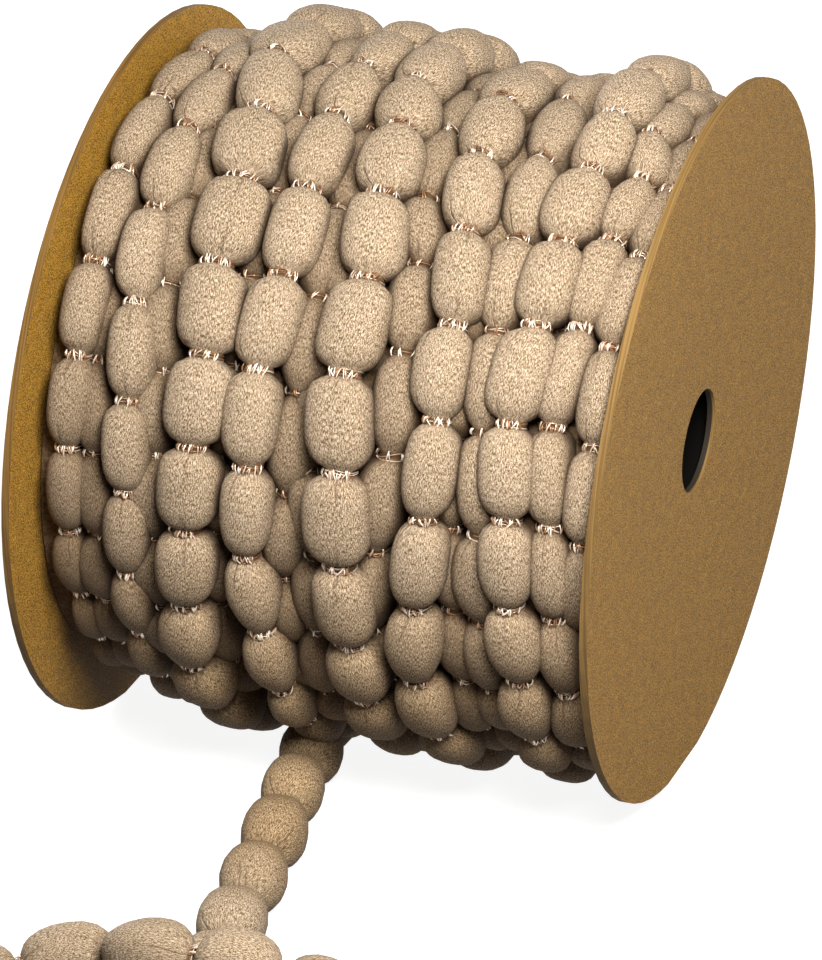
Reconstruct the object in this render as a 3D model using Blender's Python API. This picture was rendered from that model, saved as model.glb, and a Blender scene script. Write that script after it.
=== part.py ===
"""A leaning board spool wound with bobble cord, its loose end lying on the surface in front.

The spool's axis runs along +X. An angle round the axis is counted from the front, -Y,
upwards, so the top is at 90 degrees. Lengths are in metres.
"""

import bpy
import numpy as np

# The spool
FLANGE_RADIUS = 0.045
HOLE_RADIUS = 0.0065
BOARD = 0.0010  # thickness of a flange
WIDTH = 0.0741  # from outer face to outer face, at the rim
DISH = 0.0012  # how much nearer to each other the flanges are at the hole, on each side
LEAN = 0.048  # sideways shift of the whole spool for each unit of height
FLAT = 0.012  # length of the flat spot that each flange stands on
RIM_POINTS = 72

# The winding
GAP = 0.0003  # between pieces that touch
BORE_RADIUS = 0.0085
BASE_RADIUS = 0.0365  # the layers below the two that show
BEAD_DEPTH = 0.0036  # half a wound bead's thickness
BEAD_WAIST = 0.12  # a waist's share of its bead's thickness
BEAD_POWER = 2.6  # more makes a bead's ends blunter
WAIST_HALF = 0.5  # a waist's share of its bead's width
ROUND_STEPS = 144
ACROSS_STEPS = 34

# The loose end
CORD_RADIUS = 0.0039
CORD_WAIST = 0.42
BEAD_PITCH = 0.0108
BEAD_STATIONS = (0.0, 0.1, 0.32, 0.68, 0.9)  # shares of a bead's length, from waist to waist
FIRST_WAIST = 0.0054  # along the route, from its start

AXIS_HEIGHT = np.sqrt(FLANGE_RADIUS**2 - (FLAT / 2) ** 2)
TOP, FRONT, LOW = 90.0, 25.0, -40.0  # angles at which a turn's place is given
SEEN_STEPS = 7  # places read from one row's smooth path between TOP and LOW
WHOLE_TURN = 360.0

# Each row is one turn, in the order in which the cord runs from left to right, in mm and
# degrees: its place along the axis and its ridge's height above the axis at the three angles,
# half its width, the angle of one of its waists, and the angle between waists.
UPPER_TURNS = (
    # x_top, x_front, x_low, r_top, r_front, r_low, half, waist, pitch
    (-32.0, -32.0, -32.0, 37.5, 37.5, 37.5, 3.0, 20.0, 16.4),
    (-31.2, -30.4, -26.0, 41.8, 40.8, 38.6, 3.4, 24.6, 16.2),
    (-26.0, -23.6, -20.2, 42.8, 41.8, 40.4, 3.5, 18.5, 15.9),
    (-19.6, -15.2, -15.2, 45.2, 44.4, 43.2, 4.6, 27.2, 15.3),
    (-10.6, -7.9, -3.4, 44.4, 44.0, 43.2, 4.0, 26.7, 15.6),
    (-2.6, 3.0, 7.4, 44.9, 44.4, 43.4, 4.4, 27.5, 15.4),
    (10.2, 15.1, 14.2, 44.6, 44.4, 43.6, 4.0, 22.5, 15.9),
    (23.4, 24.2, 28.2, 44.6, 44.4, 43.4, 4.2, 23.7, 15.4),
    (29.4, 30.0, 31.8, 42.6, 42.4, 42.2, 3.5, 24.3, 15.5),
    (32.4, 32.4, 32.4, 41.0, 41.0, 41.0, 2.8, 22.0, 15.5),
    (32.4, 32.4, 32.4, 37.5, 37.5, 37.5, 2.8, 22.0, 15.5),
)
LOWER_TURNS = (
    (-30.0, -30.0, -30.0, 37.5, 37.5, 37.5, 3.0, 20.0, 16.4),
    (-28.6, -27.2, -24.0, 39.6, 39.4, 38.4, 3.4, 17.0, 16.4),
    (-23.0, -20.4, -17.8, 40.4, 40.2, 39.6, 3.5, 20.0, 16.2),
    (-14.6, -11.6, -9.4, 40.6, 40.6, 40.2, 3.5, 18.0, 16.0),
    (-5.6, -2.4, -0.4, 41.0, 41.0, 40.6, 3.6, 23.5, 15.8),
    (5.0, 9.7, 10.8, 41.6, 41.6, 40.8, 3.5, 32.3, 15.6),
    (17.8, 20.7, 23.6, 43.2, 42.2, 41.4, 3.2, 21.9, 15.8),
    (26.4, 27.4, 29.0, 40.6, 40.6, 40.6, 3.5, 20.0, 16.0),
    (31.0, 31.0, 31.0, 37.5, 37.5, 37.5, 3.0, 20.0, 16.4),
)
MM = 0.001

# The turn that leads to the loose end comes up behind the winding and leaves it at the bottom.
EXIT_TURN = (
    # angle, x, r of its ridge
    (-265.0, -10.6, 38.0),
    (-220.0, -9.8, 41.0),
    (-160.0, -9.6, 43.0),
    (-97.0, -10.4, 43.2),
)
EXIT_HALF = 3.9
EXIT_ANGLE = -97.0
EXIT_PITCH = 15.6
CLEAR_HALF = 0.0052  # half the width of the hollow that the leaving cord lies in
CLEAR_SLOPE = 2.0  # of that hollow's sides
CLEAR_FROM, CLEAR_TO = -101.0, -50.0  # where that hollow starts and runs out, in degrees

# The loose end's route, from under the winding to its cut end, in mm over the surface.
ROUTE = (
    (-10.6, 5.2, 5.3),
    (-9.5, -6.0, 5.0),
    (-8.4, -13.5, 4.5),
    (-7.3, -20.5, 4.1),
    (-5.8, -30.0, 4.1),
    (-4.1, -41.0, 4.1),
    (-2.2, -52.0, 4.1),
    (-0.6, -62.0, 4.1),
    (1.0, -72.5, 4.1),
    (2.6, -82.5, 4.1),
    (4.0, -93.0, 4.1),
    (6.8, -104.0, 4.1),
    (14.0, -114.0, 4.1),
    (25.0, -118.0, 4.1),
    (37.0, -114.0, 4.1),
    (43.0, -103.0, 4.1),
    (41.0, -92.0, 4.1),
    (34.0, -85.0, 4.1),
    (26.0, -82.3, 4.6),
    (18.5, -81.4, 6.9),
    (11.0, -81.9, 9.6),
    (2.6, -81.6, 10.9),
    (-4.0, -80.0, 9.0),
    (-9.5, -79.4, 6.6),
    (-14.8, -80.3, 4.8),
    (-20.8, -84.2, 4.1),
    (-27.0, -90.0, 4.1),
    (-33.0, -97.0, 4.1),
)
ROUTE_STEPS = 24  # places read between two points of the route
UNDER_WINDING = 9  # how many of the route's points lie near the winding

EDGE_ANGLE = np.radians(50)  # a sharper edge than this isn't shaded smooth
CARDBOARD = ("cardboard", (0.36, 0.24, 0.12, 1.0), 0.85)
YARN = ("bobble_yarn", (0.42, 0.32, 0.22, 1.0), 0.95)


def clear_scene():
    for item in list(bpy.data.objects):
        bpy.data.objects.remove(item, do_unlink=True)


def material(name, colour, roughness):
    made = bpy.data.materials.get(name) or bpy.data.materials.new(name)
    made.use_nodes = True
    shader = made.node_tree.nodes["Principled BSDF"]
    shader.inputs["Base Color"].default_value = colour
    shader.inputs["Roughness"].default_value = roughness
    shader.inputs["Metallic"].default_value = 0.0
    return made


def on_spool(x, radius, degrees):
    """Points at a place along the axis, a radius and an angle, on the leaning spool."""
    turned = np.radians(degrees)
    height = radius * np.sin(turned)
    return np.stack([x + LEAN * height, -radius * np.cos(turned), height + AXIS_HEIGHT], -1)


def flange_face(radius):
    """How far from the middle a flange's outer face lies, at a radius."""
    return WIDTH / 2 - DISH * (1 - radius / FLANGE_RADIUS)


def ring_solid(name, rings, look):
    """A closed band from an array of points: one row round the axis, one column along a section."""
    steps, across, _ = rings.shape
    row, column = np.meshgrid(np.arange(steps), np.arange(across), indexing="ij")
    next_row, next_column = (row + 1) % steps, (column + 1) % across
    corners = (
        row * across + column,
        row * across + next_column,
        next_row * across + next_column,
        next_row * across + column,
    )
    faces = np.stack(corners, -1).reshape(-1, 4)
    mesh = bpy.data.meshes.new(name)
    mesh.from_pydata(rings.reshape(-1, 3).tolist(), [], faces.tolist())
    mesh.materials.append(material(*look))
    mesh.update()
    made = bpy.data.objects.new(name, mesh)
    bpy.context.scene.collection.objects.link(made)
    return made


def make_flange(name, side):
    """A dished disc with a hole, flat at the bottom. Its side is 1 on the right and -1 on the left."""
    flat_angle = np.degrees(np.arcsin(FLAT / 2 / FLANGE_RADIUS))
    angles = np.linspace(-90 + flat_angle, 270 - flat_angle, RIM_POINTS)
    section = (
        (flange_face(HOLE_RADIUS), HOLE_RADIUS),
        (flange_face(FLANGE_RADIUS), FLANGE_RADIUS),
        (flange_face(FLANGE_RADIUS) - BOARD, FLANGE_RADIUS),
        (flange_face(HOLE_RADIUS) - BOARD, HOLE_RADIUS),
    )
    rings = np.stack([on_spool(side * x, radius, angles) for x, radius in section], 1)
    made = ring_solid(name, rings[:, ::-side], CARDBOARD)
    made.data.shade_smooth()
    made.data.set_sharp_from_angle(angle=EDGE_ANGLE)


def bead_shape(place, waist):
    """The thickness along a beaded cord, where a whole number is a waist: 1 on a bead."""
    across = np.abs(2 * (place % 1.0) - 1)
    return waist + (1 - waist) * np.sqrt(np.clip(1 - across**BEAD_POWER, 0, 1))


def whole_turn(row, following):
    """One turn's angles and, at each, its place, ridge, bead count and half width.

    In sight it keeps to its own row. Round the back it runs over to the next row.
    """
    seen = np.linspace(TOP, LOW, SEEN_STEPS)
    x, ridge = (np.polyval(np.polyfit((TOP, FRONT, LOW), part, 2), seen) for part in (row[0:3], row[3:6]))
    half, waist, pitch = row[6:9]
    angles = np.append(seen, TOP - WHOLE_TURN)
    beads = (waist - seen) / pitch
    arriving = (following[7] - TOP) / following[8]
    hidden = (WHOLE_TURN + LOW - TOP) / pitch
    last = arriving + np.round(beads[-1] + hidden - arriving)
    halves = np.append(np.full(len(seen), half), following[6])
    return angles, (np.append(x, following[0]), np.append(ridge, following[3]), np.append(beads, last), halves)


def raise_turn(surface, x_grid, angles, table):
    """Raises the surface to one turn's beads, as far as the turn goes."""
    places, ridges, beads, halves = table
    for row, angle in enumerate(np.linspace(0, -WHOLE_TURN, ROUND_STEPS, endpoint=False)):
        for round_again in (angle, angle + WHOLE_TURN):
            if not angles[-1] <= round_again <= angles[0]:
                continue
            x, ridge, bead, half = (
                np.interp(-round_again, -angles, values) for values in (places, ridges, beads, halves)
            )
            shape = bead_shape(bead, BEAD_WAIST)
            off = (x_grid[row] - x * MM) / (half * MM * (WAIST_HALF + (1 - WAIST_HALF) * shape))
            centre = ridge * MM - BEAD_DEPTH
            top = centre + BEAD_DEPTH * shape * np.sqrt(np.clip(1 - off**2, 0, 1))
            surface[row] = np.where(np.abs(off) < 1, np.maximum(surface[row], top), surface[row])


def clear_for_cord(surface, x_grid, angles):
    """Lowers the surface over the cord that leaves it at the bottom."""
    near = np.array(ROUTE[:UNDER_WINDING]) * MM
    for row, angle in enumerate(angles):
        if not CLEAR_FROM <= angle <= CLEAR_TO:
            continue
        height = -np.sin(np.radians(angle))
        y = -surface[row] * np.cos(np.radians(angle))
        x_axis = np.interp(-y, -near[:, 1], near[:, 0]) + LEAN * (AXIS_HEIGHT - near[0, 2])
        beside = np.clip(np.abs(x_grid[row] - x_axis) - CLEAR_HALF, 0, None)
        highest = (AXIS_HEIGHT - near[0, 2] - CORD_RADIUS - 2 * GAP) / height
        surface[row] = np.minimum(surface[row], highest + CLEAR_SLOPE * beside)


def make_winding():
    """The wound cord as one hollow body, with each turn's beads raised on its outer side."""
    angles = np.linspace(0, -WHOLE_TURN, ROUND_STEPS, endpoint=False)
    half = flange_face(BASE_RADIUS) - BOARD - GAP
    x_grid = np.tile(np.linspace(-half, half, ACROSS_STEPS + 1), (ROUND_STEPS, 1))
    surface = np.full(x_grid.shape, BASE_RADIUS)
    for turns in (LOWER_TURNS, UPPER_TURNS):
        for row, following in zip(turns, turns[1:]):
            raise_turn(surface, x_grid, *whole_turn(row, following))
    exit_angles, exit_x, exit_ridge = np.array(EXIT_TURN).T
    exit_beads = (EXIT_ANGLE - exit_angles) / EXIT_PITCH
    exit_halves = np.full(len(exit_angles), EXIT_HALF)
    raise_turn(surface, x_grid, exit_angles[::-1], tuple(
        values[::-1] for values in (exit_x, exit_ridge, exit_beads, exit_halves)
    ))
    clear_for_cord(surface, x_grid, angles)
    end = flange_face(surface[:, -1]) - BOARD - GAP
    x_grid[:, -1], x_grid[:, 0] = end, -(flange_face(surface[:, 0]) - BOARD - GAP)
    inner = flange_face(BORE_RADIUS) - BOARD - GAP
    outside = [on_spool(x_grid[:, i], surface[:, i], angles) for i in range(ACROSS_STEPS + 1)]
    inside = [on_spool(x, BORE_RADIUS, angles) for x in (inner, -inner)]
    made = ring_solid("winding", np.stack(outside + inside, 1)[:, ::-1], YARN)
    made.data.shade_smooth()
    made.data.set_sharp_from_angle(angle=EDGE_ANGLE)


def smooth_route():
    """Places read from a smooth curve through the route's points, and how far along each one is."""
    points = np.array(ROUTE) * MM
    padded = np.vstack([2 * points[0] - points[1], points, 2 * points[-1] - points[-2]])
    share = np.linspace(0, 1, ROUTE_STEPS, endpoint=False)[:, None]
    runs = []
    for before, start, end, after in zip(padded, padded[1:], padded[2:], padded[3:]):
        bend = (2 * before - 5 * start + 4 * end - after) * share**2
        twist = (3 * start - before - 3 * end + after) * share**3
        runs.append(start + 0.5 * ((end - before) * share + bend + twist))
    places = np.vstack([*runs, points[-1:]])
    steps = np.linalg.norm(np.diff(places, axis=0), axis=1)
    return places, np.append(0, np.cumsum(steps))


def make_loose_end():
    """A beaded cord, as a curve whose radius falls to a waist between two beads and at its cut end."""
    places, along = smooth_route()
    count = int((along[-1] - FIRST_WAIST) / BEAD_PITCH)
    beads = np.append((np.arange(-1, count)[:, None] + np.array(BEAD_STATIONS)).reshape(-1), count)
    distance = FIRST_WAIST + beads * BEAD_PITCH
    beads, distance = beads[distance > 0], distance[distance > 0]
    curve = bpy.data.curves.new("loose_end", "CURVE")
    curve.dimensions = "3D"
    curve.bevel_depth = CORD_RADIUS
    curve.bevel_resolution = 2
    curve.use_fill_caps = True
    spline = curve.splines.new("POLY")
    spline.points.add(len(distance) - 1)
    for point, far, bead in zip(spline.points, distance, beads):
        point.co = (*(np.interp(far, along, places[:, axis]) for axis in range(3)), 1.0)
        point.radius = bead_shape(bead, CORD_WAIST)
    curve.materials.append(material(*YARN))
    made = bpy.data.objects.new("loose_end", curve)
    bpy.context.scene.collection.objects.link(made)


clear_scene()
make_flange("flange_left", -1)
make_flange("flange_right", 1)
make_winding()
make_loose_end()
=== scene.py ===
"""A leaning board spool wound with bobble cord, its loose end lying on the surface in front.

The spool's axis runs along +X. An angle round the axis is counted from the front, -Y,
upwards, so the top is at 90 degrees. Lengths are in metres, unless a name or a table says mm.
"""

import bpy
import numpy as np
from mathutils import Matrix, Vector


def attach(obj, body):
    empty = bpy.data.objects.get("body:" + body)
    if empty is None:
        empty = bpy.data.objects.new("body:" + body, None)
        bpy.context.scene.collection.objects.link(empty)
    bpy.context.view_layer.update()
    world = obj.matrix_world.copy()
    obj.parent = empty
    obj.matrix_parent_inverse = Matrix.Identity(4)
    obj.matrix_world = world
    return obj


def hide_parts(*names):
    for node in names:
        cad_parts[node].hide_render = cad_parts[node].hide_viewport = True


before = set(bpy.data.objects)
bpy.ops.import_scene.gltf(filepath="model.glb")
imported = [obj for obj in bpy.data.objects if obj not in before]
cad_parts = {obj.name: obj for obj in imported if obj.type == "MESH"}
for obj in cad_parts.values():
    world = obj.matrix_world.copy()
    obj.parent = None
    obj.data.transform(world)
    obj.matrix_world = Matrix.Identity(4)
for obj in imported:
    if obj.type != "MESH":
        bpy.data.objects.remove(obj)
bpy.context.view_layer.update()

MM = 0.001
WHOLE_TURN = 360.0
A_HAIR = 1e-6  # keeps a whole count whole

# The spool, as in the solids, in mm
FLANGE_RADIUS = 45.0
HOLE_RADIUS = 6.5
BOARD = 1.0
WIDTH = 74.1
DISH = 1.2  # how much nearer the middle a flange lies at its centre than at its rim
LEAN = 0.048  # how far the spool leans to the right, for each mm of height
FLAT = 12.0  # the length of the flat spot that a flange stands on
GAP = 0.3  # between the winding and a board
BORE_RADIUS = 8.5  # of the hole through the deep turns
BASE_RADIUS = 36.5  # of the deep turns, for which no bead is made
AXIS_HEIGHT = np.sqrt(FLANGE_RADIUS**2 - (FLAT / 2) ** 2)

# The camera, fitted to the outlines of both flanges
CAMERA_PLACE = (0.2330, -0.6401, 0.3512)
CAMERA_ROUND, CAMERA_UP = 20.11, 25.0  # in degrees
CAMERA_LENS, SENSOR = 225.95, 36.0
CLIP_START, CLIP_END = 0.05, 20.0
PHOTO_SIZE = np.array((822.0, 960.0))
PHOTO_MIDDLE = PHOTO_SIZE / 2
PHOTO_FOCAL = CAMERA_LENS / SENSOR * PHOTO_SIZE[1]  # in pixels

# Each row is a column of beads, the part of one turn that shows, in the order in which the cord
# runs from left to right: its ridge's height above the axis at its top, its middle and its foot,
# half its width at the same three, in mm, where each of its waists shows in the photograph,
# in pixels from the left and the top, and how high it runs at its first waist and at those
# behind it, where the turns climb over one another.
UPPER_COLUMNS = (
    ((42.4, 42.4, 39.0), (3.4, 3.1, 2.3), (
        (203, 51), (160, 93), (122, 166), (94, 260), (75, 355), (64, 450), (67, 533), (80, 595),
    ), (43.2, 43.2)),
    ((43.2, 43.2, 41.6), (3.4, 3.2, 2.8), (
        (223, 67), (186, 122), (156, 205), (134, 301), (125, 402), (124, 495), (126, 576), (140, 634),
    ), (43.6, 43.0)),
    ((45.4, 44.6, 44.2), (4.5, 4.2, 3.7), (
        (275, 47), (258, 104), (240, 173), (214, 260), (203, 355), (188, 449), (182, 534), (183, 609),
        (190, 669),
    ), (46.4, 46.6, 47.2, 47.0, 45.6)),
    ((44.6, 44.2, 44.0), (3.8, 3.7, 2.9), (
        (363, 61), (335, 110), (305, 184), (280, 273), (254, 369), (244, 470), (242, 560), (258, 636),
        (281, 693),
    ), (46.0, 46.4, 46.2, 45.0)),
    ((45.0, 44.6, 44.2), (3.9, 4.3, 3.9), (
        (415, 74), (401, 120), (380, 189), (366, 276), (340, 373), (336, 475), (336, 571), (347, 649),
        (364, 703),
    ), (46.0, 46.2, 46.2, 45.4)),
    ((45.0, 44.4, 44.4), (4.0, 3.3, 3.8), (
        (502, 93), (479, 149), (465, 227), (451, 324), (434, 421), (420, 523), (412, 612), (413, 685),
        (437, 737),
    ), (45.6, 44.6, 42.8, 42.0)),
    ((44.6, 44.4, 44.2), (3.9, 3.7, 3.4), (
        (615, 109), (590, 164), (561, 238), (535, 324), (507, 425), (503, 523), (505, 612), (518, 685),
        (534, 741),
    ), (46.6, 47.2, 46.4, 44.6)),
    ((43.0, 42.6, 42.2), (3.3, 2.9, 3.2), (
        (651, 129), (642, 175), (611, 236), (580, 327), (549, 428), (546, 530), (552, 622), (566, 696),
        (580, 745),
    ), (43.8, 43.0, 42.4)),
    ((41.2, 42.2, 42.2), (2.9, 3.0, 3.0), (
        (669, 188), (641, 254), (609, 347), (592, 449), (580, 548),
    )),
)
LOWER_COLUMNS = (
    ((39.8, 39.8, 39.2), (3.1, 3.1, 3.0), ((94, 358), (93, 455), (98, 537), (105, 600))),
    ((41.0, 41.0, 40.6), (3.4, 3.3, 3.2), (
        (215, 125), (190, 195), (166, 283), (155, 370), (153, 455), (150, 540),
    )),
    ((40.4, 40.4, 40.2), (3.4, 3.3, 3.2), (
        (300, 112), (275, 190), (250, 275), (232, 365), (222, 460), (213, 534), (215, 603), (226, 663),
    ), (41.6, 43.4, 44.0, 43.4)),
    ((40.8, 40.6, 40.6), (3.4, 3.3, 3.2), (
        (368, 126), (340, 206), (313, 295), (297, 393), (285, 495), (281, 579), (291, 643),
    )),
    ((40.4, 41.0, 41.4), (3.2, 3.2, 3.2), ((306, 470), (312, 556), (317, 632), (324, 692))),
    ((41.6, 41.6, 41.0), (3.5, 3.4, 3.3), (
        (448, 127), (424, 195), (420, 262), (402, 351), (389, 456), (371, 553), (368, 632),
    )),
    ((40.6, 40.6, 41.4), (3.4, 3.3, 3.2), ((446, 440), (446, 530), (452, 611), (464, 681), (480, 728))),
    ((43.2, 42.4, 41.6), (3.4, 3.3, 3.2), (
        (568, 99), (541, 153), (519, 236), (495, 330), (482, 433), (478, 537), (480, 625), (490, 691),
    )),
)
# The turns before and after those that show, by angle, place along the axis, ridge and half width
UPPER_BEFORE = ((275.0, -32.4, 36.5, 3.0),)
UPPER_AFTER = ((-33.0, 32.6, 38.4, 2.9), (-150.0, 32.4, 38.0, 2.9), (-330.0, 32.4, 36.5, 2.8))
LOWER_BEFORE = ((200.0, -31.6, 37.5, 3.0),)
LOWER_AFTER = (
    (-150.0, 25.0, 40.0, 3.3), (-335.0, 27.6, 39.8, 3.3), (-510.0, 30.2, 38.6, 3.2),
    (-700.0, 31.8, 37.0, 3.0),
)
UNSEEN_PITCH, CREST_PITCH = 15.6, 14.2  # degrees from waist to waist, out of sight and behind the top
COUNTS_A_BEAD = 12  # how finely a chain is read
EASING = 1.6  # how far its corners are eased, in such steps
# The turn that leads to the loose end, up behind the winding from where it leaves it, as above
EXIT_TURN = (
    (-97.0, -8.7, 43.2, 3.9), (-160.0, -8.2, 43.4, 3.9),
    (-200.0, -8.6, 42.0, 3.8), (-235.0, -9.4, 39.5, 3.4),
)
EXIT_PITCH, EXIT_BEADS = 15.6, 8
EXIT_EASING = 7.0  # in degrees
# How the turns make room for that turn: round which place and angle, how far, and how fast it fades
PARTED_AT, PARTED_ROUND, PARTED_BY = -8.4, -160.0, 2.2
PARTED_REACH, PARTED_POWER = 9.0, 1.5

# The loose end's route, from under the winding to its cut end: x, y and its middle's height, in mm
ROUTE = (
    (-10.6, 5.2, 5.3), (-9.5, -6.0, 5.0), (-8.4, -13.5, 4.5), (-7.3, -20.5, 4.1),
    (-5.8, -30.0, 4.1), (-4.1, -41.0, 4.1), (-2.2, -52.0, 4.1), (-0.6, -62.0, 4.1),
    (1.0, -72.5, 4.1), (2.6, -82.5, 4.1), (4.0, -93.0, 4.1), (6.8, -104.0, 4.1),
    (14.0, -114.0, 4.1), (25.0, -118.0, 4.1), (37.0, -114.0, 4.1), (43.0, -103.0, 4.1),
    (41.0, -92.0, 4.1), (34.0, -85.0, 4.1), (26.0, -82.3, 4.6), (18.5, -81.4, 6.9),
    (11.0, -82.6, 9.6), (2.6, -84.4, 10.9), (-4.0, -82.4, 9.0), (-9.5, -80.4, 6.8),
    (-14.8, -80.3, 5.2), (-20.8, -84.2, 4.1), (-27.0, -90.0, 4.1), (-33.0, -97.0, 4.1),
)
ROUTE_STEPS = 24  # places read between two of its points
ROUTE_NUDGE = 0.5  # how far ahead and behind its direction is read, in mm
# Where its waists show in the photograph, in the two runs that do, in pixels
LOOSE_SEEN = (
    ((306, 770), (288, 812), (268, 857), (247, 905)),
    ((283, 975), (196, 957), (111, 953), (21, 970)),
)
FIRST_WAIST, LOOSE_PITCH = 3.0, 10.9  # where its first waist lies, and a bead's length, in mm
LOOSE_HALF = 4.0  # half a loose bead's thickness, in mm

# One bead
WOUND_DEPTH = 3.6  # half a wound bead's thickness, in mm
WOUND_NECK, LOOSE_NECK = 0.11, 0.07  # shares of a bead's half length that each end's neck takes
NECK_WIDE, NECK_DEEP = 0.46, 0.50  # a neck's shares of its bead's width and thickness
LOOSE_THIN = 0.26  # a loose bead's neck's share of its thickness
# The power and the root that shape a bead's first and its second end: more of the power is blunter
WOUND_ENDS, LOOSE_ENDS = ((3.7, 0.50), (3.0, 0.58)), ((2.3, 0.5), (2.3, 0.5))
WIDE_FROM, WIDE_BLUNTS = 3.4, 1.0  # a half width, and how much blunter each mm over it makes the ends
LOW_TAPER, LOW_FROM, LOW_BLEND = 1.6, 0.38, 0.7  # less blunt ends low down, by the angle's sine
TOP_TAPER, TOP_NECK = 1.2, 0.32  # less blunt ends and thicker necks at the top
TOP_MIDDLE, TOP_FROM, TOP_BLEND = 80.0, 0.93, 0.06  # where that is: an angle, and the cosine from it
SECTION_POWER = 0.82  # less makes a bead's section squarer
CORNER_CROWDING = 0.3  # how far a ring's corners crowd towards its outer side
# How beads differ, by random numbers of their own: their ends, width, thickness, place and lumps
OWN_NUMBERS = 8
BLUNT_VARIES, BLUNT_MOST, WIDTH_VARIES, DEPTH_VARIES, SIDE_VARIES = 0.25, 1.5, 0.035, 0.02, 0.16
LUMPS, LUMP, LUMP_TURN = 3, 0.016, 2.4
# The small folds next to a waist: how many round it, how high, how they turn, and how they fade
PLEATS, PLEAT, PLEAT_TURN, PLEAT_SLANT = 7, 0.075, 3.0, 2.0
PLEAT_REACH, PLEAT_FADE = 0.055, 0.2
# Where a bead has its rings, as shares of the way from waist to waist, and a ring's corners
UPPER_STATIONS = np.array((0, 0.03, 0.065, 0.12, 0.2, 0.32, 0.46, 0.6, 0.73, 0.84, 0.91, 0.955, 0.985))
LOWER_STATIONS = np.array((0, 0.04, 0.1, 0.2, 0.36, 0.56, 0.76, 0.9, 0.97))
UPPER_SIDES, LOWER_SIDES = 22, 16
MAP_RADIUS = 44.0  # at which the cloth's map is as long as the cord
BEAD_SEEDS = {"upper_turns": 11, "lower_turns": 12, "exit_turn": 13, "loose_cord": 31}

# The threads at one waist, in mm and degrees
THREAD_SIDES, THREAD_TIP = 4, 0.4
THREAD_LIFT = 0.14  # how far off the cloth a thread lies
# A wrap: half its thickness, how much of the neck the wraps cover, how far round it reaches,
# and how far it strays and sways along the cord
WRAP_POINTS, WRAP_THICK, WRAP_SPREAD, WRAP_ROUND = 10, 0.075, 1.1, 112
WRAP_STRAYS, WRAP_SWAYS, WRAP_WAVES, WRAP_PHASE = 0.05, 0.24, 1.5, 6.3
# A bridge: half its thickness, how far round the bridges stand, half its length, how far it
# strays round and along the cord, how far it slants, how high it bows, and its middle in bows
BRIDGE_POINTS, BRIDGE_THICK, BRIDGE_FAN, BRIDGE_REACH = 5, 0.105, 104.0, 0.72
BRIDGE_STRAYS, BRIDGE_SHIFTS, BRIDGE_SLANT, BRIDGE_BOW, BRIDGE_TOP = 9, 0.1, 0.14, 2.4, 1.15
STRANDS, STRAND_GAP = 2, 7.0  # the strands of one bridge, and the degrees between them
# How threads differ: the least share of a value, and how much more it may be
WRAP_LIFTS, WRAP_SIZES, WRAP_TONES = (0.4, 0.9), (0.75, 0.5), (0.15, 0.95)
BRIDGE_LENGTHS, BRIDGE_LIFTS, BRIDGE_SIZES = (0.7, 0.6), (0.8, 0.4), (0.7, 0.5)
BRIDGE_TONE, TONE_POWER = 0.9, 1.5  # a bridge's tone at most, and the power that makes low ones common
# The wraps, the bridges and the seed of each chain's threads
UPPER_BINDING, EXIT_BINDING = (4, 7, 21), (4, 7, 23)
LOWER_BINDING, LOOSE_BINDING = (3, 3, 22), (5, 4, 32)

# The drum of deep turns: its steps round and across, and the angle at which an edge is sharp
DRUM_ROUND, DRUM_ACROSS, DRUM_CREASE = 96, 25, 50

OUTER_PLY = 0.35  # how much of the hole's wall is pale, in mm
CREVICE = 2.6  # how near other cloth must be for painted shade to darken the cloth, in mm
# Between which radii, heights and places in front of the axis the cloth's painted shade fades or starts
SUNK_SHADE_RADII, LOW_SHADE_HEIGHTS, SPOOL_FRONT = np.array(((38.5, 43.6), (12.0, 48.0), (-66.0, -46.0))) * MM

# The studio
LAMPS_AIM = (0.0, 0.0, 0.04)
LAMPS = (
    # name, place, size, power, colour
    ("key", (0.112, -0.190, 0.245), 0.12, 2.2, (1.0, 0.985, 0.94)),
    ("behind_left", (-0.30, 0.28, 0.07), 0.22, 2.2, (1.0, 0.99, 0.97)),
    ("behind_right", (0.26, 0.32, 0.08), 0.22, 0.9, (1.0, 0.99, 0.97)),
)
SURROUND_COLOUR, SURROUND_STRENGTH = (1.0, 0.67, 0.29), 0.045
FLOOR_HALF, FLOOR_DROP = 3.0, 0.00005  # half its width, and how far under the spool it lies
FLOOR_COLOUR, FLOOR_GLOW = (0.3, 0.3, 0.3), 0.90


def on_spool(x, radius, degrees):
    """Points in metres on the leaning spool, by place along its axis and radius in mm, and angle."""
    turned = np.radians(degrees)
    height = radius * np.sin(turned)
    parts = np.broadcast_arrays(x + LEAN * height, -radius * np.cos(turned), height + AXIS_HEIGHT)
    return np.stack(parts, -1) * MM


def flange_face(radius):
    """How far from the middle a flange's outer face lies, in mm, at a radius."""
    return WIDTH / 2 - DISH * (1 - radius / FLANGE_RADIUS)


def unit(vectors):
    """The vectors, each over its own length."""
    return vectors / np.linalg.norm(vectors, axis=-1, keepdims=True)


def smoothed(values, spread):
    """The values, each a bell-weighted mean of its neighbours. The ends are carried on as they run."""
    reach = int(3 * spread)
    weights = np.exp(-0.5 * (np.arange(-reach, reach + 1) / spread) ** 2)
    before = values[0] - (values[1:reach + 1][::-1] - values[0])
    after = values[-1] + (values[-1] - values[-reach - 1:-1][::-1])
    return np.convolve(np.concatenate([before, values, after]), weights / weights.sum(), "valid")


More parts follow.
